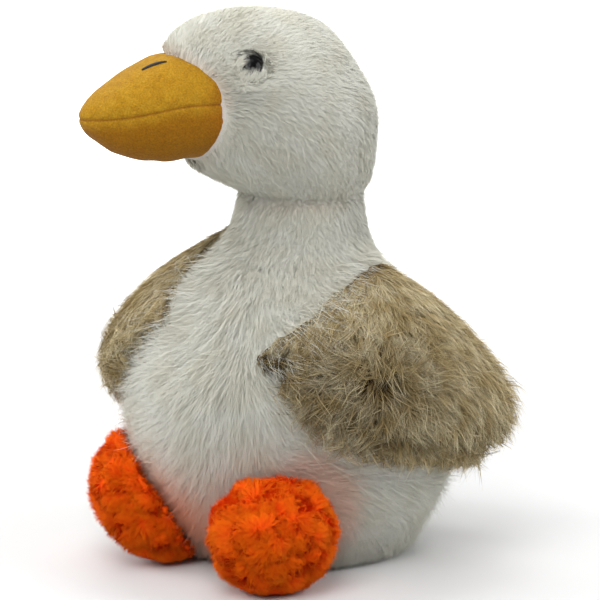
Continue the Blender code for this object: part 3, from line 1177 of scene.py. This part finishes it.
def make_camera():
    height = cad_box[1].z - cad_box[0].z
    away = outward_to(VIEW_BEARING, VIEW_RISE)
    data = bpy.data.cameras.new("camera")
    data.sensor_width = SENSOR_MM
    data.lens = SENSOR_MM * VIEW_DISTANCE / (PICTURE_SHARE * height)
    data.clip_start = 0.01
    data.clip_end = 50
    camera = link("camera", data)
    camera.location = Vector((0, 0, TARGET_SHARE * height)) + away * VIEW_DISTANCE
    camera.rotation_mode = "QUATERNION"
    camera.rotation_quaternion = (-away).to_track_quat("-Z", "Y")
    bpy.context.scene.camera = camera


def softbox(name, turn, tilt, distance, size, power, aim=None):
    """A square lamp on this bearing. It faces the toy unless it has another aim."""
    away = outward_to(turn, tilt)
    data = bpy.data.lights.new(name, "AREA")
    data.shape = "SQUARE"
    data.size = size
    data.energy = power
    lamp = link(name, data)
    lamp.location = Vector((0, 0, 0.1)) + away * distance
    lamp.rotation_mode = "QUATERNION"
    lamp.rotation_quaternion = (aim or -away).to_track_quat("-Z", "Y")


def make_stage():
    """Soft lamps, and a floor that is pale to the camera and fades to white away from the toy."""
    softbox("above", 0, 80, 1.3, 1.0, 5.5)
    softbox("key", 20, 41, 1.5, 1.0, 12.6)
    softbox("front", -60, 26, 1.6, 0.9, 10.5)
    softbox("side", 120, 30, 1.7, 1.0, 13)
    softbox("backdrop", VIEW_BEARING + 180, 35, 3.0, 2.4, 70, Vector((0, 0, -1)))
    world = bpy.data.worlds.new("studio")
    air = Nodes(world, "Background")
    strength = air.stretched(air.camera(), WORLD_LIGHT, 1.0)
    air.feed(air.shader, {"Color": (1.0, 1.0, 1.0), "Strength": strength})
    bpy.context.scene.world = world
    bpy.context.scene.view_settings.view_transform = "Standard"

    made = bmesh.new()
    bmesh.ops.create_circle(made, cap_ends=True, segments=96, radius=FLOOR_RADIUS)
    floor = link("floor", mesh_of("floor", made))
    made = new_material("pale_floor")
    speck = made.stretched(made.noise(0.4), 0.96, 1.0)
    seen = made.camera()
    pale = made.stretched(seen, FLOOR_BOUNCE, FLOOR_SEEN)
    apart = made.add("VectorMath", {0: made.place()}, operation="LENGTH").outputs["Value"]
    far = made.stretched(apart, 0.0, 1.0, *FLOOR_FADE)
    glow = made.times(far, seen)
    pale = made.times(pale, speck)
    finish = made.finish(pale, 0.9, 0.1, Emission_Color=glow, Emission_Strength=1.0)
    floor.data.materials.append(finish)


# ---------------------------------------------------------------- the toy


def settle(piece, slot, *nodes):
    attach(piece, "root")
    if nodes:
        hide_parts(*nodes)


def stuffed(piece, slot, fill, *nodes):
    settle(piece, slot, *nodes)


def sown(kind, count, locks, width_mm, tousle, **more):
    """A layer of this kind: so many tufts in so many locks, which stray by tousle degrees."""
    return dict(kind, count=count, locks=locks, width=width_mm * MM, tousle=tousle, **more)


def within(density, rule):
    """A density kept to one region."""
    return lambda place, facing: density(place, facing) * rule(place)


def make_body():
    body = body_skin()
    # White cloth tinted with painted orange bounce light and painted shade.
    body.made.data.materials.append(cloth_material("white_cloth", *WHITE_CLOTH, PAINTED_BOUNCE_AND_SHADE))
    stuffed(body.made, "white_plush", BODY_FILL, "trunk", "neck", "head", "tail")
    return body


def make_pads():
    """The skins of both wings and both feet, by side."""
    # Tan cloth darkened by darker roots and by painted shade.
    tan_cloth = cloth_material("tan_cloth", *TAN_CLOTH, TAN_ROOTS_AND_SHADE)
    # Orange cloth darkened by painted shade low on the feet.
    orange_cloth = cloth_material("orange_cloth", *ORANGE_CLOTH, ORANGE_PAINTED_SHADE)
    wings = {}
    feet = {}
    for side in ("left", "right"):
        node = f"wing_{side}"
        voxel, depth, lump = WING_VOXEL_MM * MM, WING_DEPTH_MM * MM, WING_LUMP_MM * MM
        wings[side] = pad_skin(node, voxel, depth, lump, wing_roots_and_shade, tan_cloth)
        stuffed(wings[side].made, "tan_plush", WING_FILL, node)
        node = f"foot_{side}"
        voxel, depth, lump = FOOT_VOXEL_MM * MM, FOOT_DEPTH_MM * MM, FOOT_LUMP_MM * MM
        feet[side] = pad_skin(node, voxel, depth, lump, foot_painted_shade, orange_cloth)
        stuffed(feet[side].made, "orange_plush", FOOT_FILL, node)
    return wings, feet


def make_bill():
    bill = bill_skin()
    stuffed(bill.made, "yellow_felt", BILL_FILL, "bill_upper", "bill_lower")
    thread = thread_material()
    for side, name, outward in ((1, "left", 0.0), (-1, "right", 7.0)):
        settle(nostril(f"nostril_{name}", bill, side, outward, thread), "black_bead")
    return bill


def make_eyes(body):
    """Both beads. Gives their surfaces, for the pile to land on."""
    gloss = bead_material()
    beads = []
    for name, middle, side in (("left", eye_left, 1), ("right", eye_right, -1)):
        outward = np.array(body.tree.find_nearest(Vector(middle))[1])
        made = bead(f"eye_{name}_bead", middle, unit(outward + head_left * side), gloss)
        settle(made, "black_bead", f"eye_{name}")
        beads.append(tree_of(made.data))
    return beads


def on_trunk(place):
    return (place[:, 2] <= neck_base) & (tail_share(place) < 0.5)


def on_head(place):
    return place[:, 2] > neck_seam


def coat_body(body, ground, shown):
    """The white coat: each region's layers, then what is only at an edge of it."""
    soft_waves = waves(5, 26 * MM)

    def white_comb(place, facing):
        way = flat_to(facing, body_comb(place, facing))
        return turned(way, facing, 12 * soft_waves(place))

    def outward_comb(place, facing):
        side = np.where(bearing(place) > PARTING, 1.0, -1.0)[:, None]
        return white_comb(place, facing) + way_round(place) * 0.7 * side

    def bordering(place, facing):
        near = nearness(place, ("wing_left", "foot_right"), 12 * MM)
        near = np.maximum(near, nearness(place, ("wing_right",), 20 * MM))
        return (near > 0.12) * (shown(place, facing) > 0.6)

    def above_seam(place, facing):
        return hump(place[:, 2], neck_seam + 3 * MM, 4 * MM) * rise(25, 60, np.abs(bearing(place)))

    down = {
        "comb": white_comb,
        "length": body_length,
        "full": 1.0,
        "stand": 0.9,
        "stations": 2,
        "curl": 0.0,
        "turns": 0.5,
        "soft": 0.9,
        "pull": 0.12,
        "clump": 0.4,
        "stray": 0.09,
        "wild": 0.02,
        # Painted orange bounce light and painted shade on the white pile.
        "mark": white_painted_light,
        "finish": pile_material(
            "white_pile", WHITE_PILE, 0.07, PAINTED_BOUNCE_AND_SHADE, 1.0, WHITE_TINT, patch_mm=14, sheen=0.08,
        ),
    }
    short = dict(down, length=down_length)
    wisps = dict(down, stations=3, curl=0.04, pull=0.08, soft=0.94, stray=0.06, wild=0.04)
    fluff = dict(wisps, pull=0.2, clump=0.7, soft=0.78)
    edging = sown(
        wisps, 6000, 3500, 0.17, 20.0, comb=outward_comb, full=1.6,
        length=lambda p: 1.4 * body_length(p), stray=0.09,
    )
    overhang = sown(
        fluff, 4500, 600, 0.22, 24.0, comb=lambda place, facing: DOWN + 0.0 * place, full=1.4,
        length=5.5 * MM, pull=0.4,
    )
    over_eye = sown(wisps, 4600, 2200, 0.18, 13.0, stations=4, full=0.22, length=8.5 * MM)
    round_eye = sown(wisps, 2000, 900, 0.24, 14.0, full=1.2, length=3.6 * MM, stray=0.1)
    on_face = (
        sown(down, 77000, 8000, 0.275, 9.0),
        sown(fluff, 17000, 5000, 0.2, 16.0, full=1.2),
    )
    on_neck = (
        sown(down, 62000, 6000, 0.26, 7.0),
        sown(fluff, 13000, 3000, 0.2, 12.0, full=1.15),
    )
    on_chest = (
        sown(short, 86000, 6000, 0.26, 6.0),
        sown(wisps, 29000, 5500, 0.18, 9.0),
    )
    on_back = (
        sown(short, 50000, 4000, 0.3, 6.0),
        sown(wisps, 13000, 2400, 0.2, 9.0),
    )
    on_tail = (
        sown(short, 20000, 1500, 0.28, 6.0),
        sown(wisps, 6000, 1000, 0.2, 9.0),
    )
    regions = {
        "head_left": (lambda p: on_head(p) & (p @ head_left >= 0), on_face),
        "head_right": (lambda p: on_head(p) & (p @ head_left < 0), on_face),
        "neck": (lambda p: ~on_head(p) & (p[:, 2] > neck_base), on_neck),
        "chest_right": (
            lambda p: on_trunk(p) & (bearing(p) < PARTING) & (bearing(p) > -BACK_BEARING),
            on_chest,
        ),
        "chest_left": (
            lambda p: on_trunk(p) & (bearing(p) >= PARTING) & (bearing(p) < BACK_BEARING),
            on_chest,
        ),
        "back": (lambda p: on_trunk(p) & (np.abs(bearing(p)) >= BACK_BEARING), on_back),
        "tail": (lambda p: (p[:, 2] <= neck_base) & (tail_share(p) >= 0.5), on_tail),
    }
    for seed, (name, (region, layers)) in enumerate(regions.items()):
        rules = [dict(own, where=within(shown, region)) for own in layers]
        if name.startswith("chest"):
            rules.append(dict(edging, where=within(bordering, region)))
        if name.startswith("head"):
            rules.append(dict(overhang, where=within(above_seam, region)))
            eye = eye_left if name == "head_left" else eye_right
            for (where, comb), own in zip(fringe(eye), (over_eye, round_eye)):
                rules.append(dict(own, where=where, comb=comb))
        settle(coat(f"coat_{name}", body, ground, rules, BODY_SEED + seed), "white_plush")


def coat_wings(wings, ground):
    """Each wing's coat: short pile, longer tufted pile over it, and a few loose hairs on that."""
    finish = pile_material(
        "tan_pile", TAN_PILE, 0.36, TAN_ROOTS_AND_SHADE, 0.8, TAN_TINT, patch_mm=11, sheen=0.08,
        gleam=TAN_GLEAM,
    )

    def outer(place, facing):
        """All the pile on the outside of a wing, and a little of it on the inside."""
        return 0.15 + 0.85 * rise(-0.3, 0.3, (facing * unit(place * [1, 1, 0])).sum(axis=1))

    for seed, (name, wing) in enumerate(wings.items()):
        sign = 1 if name == "left" else -1
        top = np.array([sign * 0.038, -0.004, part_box(f"wing_{name}")[1].z + 2 * MM])
        core = np.array([sign * 0.069, -0.036, 0.079])
        tousled = waves(50 + seed, 21 * MM)
        under = {
            "where": outer,
            "comb": wing_comb(top, core),
            "length": lambda p: 0.6 * wing_length(p),
            "full": 0.8,
            "tousle": lambda p, field=tousled: wing_tousle(p) * (1 + 0.4 * field(p)),
            "stand": 0.75,
            "stations": 2,
            "curl": 0.0,
            "turns": 0.8,
            "soft": 0.6,
            "finish": finish,
            "count": 60000,
            "locks": 5000,
            "width": 0.26 * MM,
            "pull": 0.2,
            "clump": 0.5,
            "stray": 0.10,
            "wild": 0.02,
            # Darker roots, and painted shade in the fold and middle of the left wing.
            "mark": lambda p: 0.04 + 1.15 * wing_roots_and_shade(p),
        }
        over = dict(
            under, length=wing_length, full=wing_fullness, stations=3, curl=0.14, soft=0.35,
            stand=0.6, count=30000, locks=3900, width=0.22 * MM, pull=0.8, clump=0.75, stray=0.06,
            wild=0.05, mark=lambda p: 0.8 * wing_roots_and_shade(p),
        )
        loose = dict(
            over, count=9500, locks=6000, width=0.28 * MM, pull=0.1, clump=0.2, stray=0.06,
            full=lambda p: 1.1 * wing_fullness(p), mark=lambda p: 0.42 * wing_roots_and_shade(p),
        )
        made = coat(f"coat_wing_{name}", wing, ground, [under, over, loose], WING_SEED + seed)
        settle(made, "tan_plush")


def coat_feet(feet, ground):
    """Each foot's coat: short fleece, with curlier hairs on it."""
    finish = pile_material(
        "orange_pile", ORANGE_PILE, 0.06, ORANGE_PAINTED_SHADE, 0.8, ORANGE_TINT, patch_mm=8, sheen=0.2,
        gleam=ORANGE_GLEAM,
    )
    for seed, (name, foot) in enumerate(feet.items()):
        under = {
            "where": lambda p, f: 0.1 + 0.9 * floor_fade(p, f),
            "comb": foot_comb(np.array(middle_of(f"foot_{name}")) + UP * 0.01, 70 + 5 * seed),
            "length": 0.6 * FOOT_LENGTH_MM * MM,
            "full": 0.9,
            "tousle": 35.0,
            "stand": 0.55,
            "stations": 2,
            "curl": 0.0,
            "turns": 0.6,
            "soft": 1.0,
            "finish": finish,
            "count": 34000,
            "locks": 7500,
            "width": 0.31 * MM,
            "pull": 0.0,
            "clump": 0.3,
            "stray": 0.12,
            "wild": 0.0,
            # Painted shade low on the foot.
            "mark": foot_painted_shade,
        }
        over = dict(
            under, length=0.65 * FOOT_LENGTH_MM * MM, full=0.75, stations=3, curl=0.2,
            count=20000, locks=7500, width=0.17 * MM, pull=0.05, stray=0.06,
        )
        made = coat(f"coat_foot_{name}", foot, ground, [under, over], FOOT_SEED + seed)
        settle(made, "orange_plush")


def main():
    make_camera()
    make_stage()
    body = make_body()
    wings, feet = make_pads()
    bill = make_bill()
    beads = make_eyes(body)
    pads = [*wings.values(), *feet.values()]
    ground = [body.tree, *beads, *(pad.tree for pad in pads)]
    shown = visible_body(bill.tree, [wing.tree for wing in wings.values()])
    coat_body(body, ground, shown)
    coat_wings(wings, ground)
    coat_feet(feet, ground)


main()
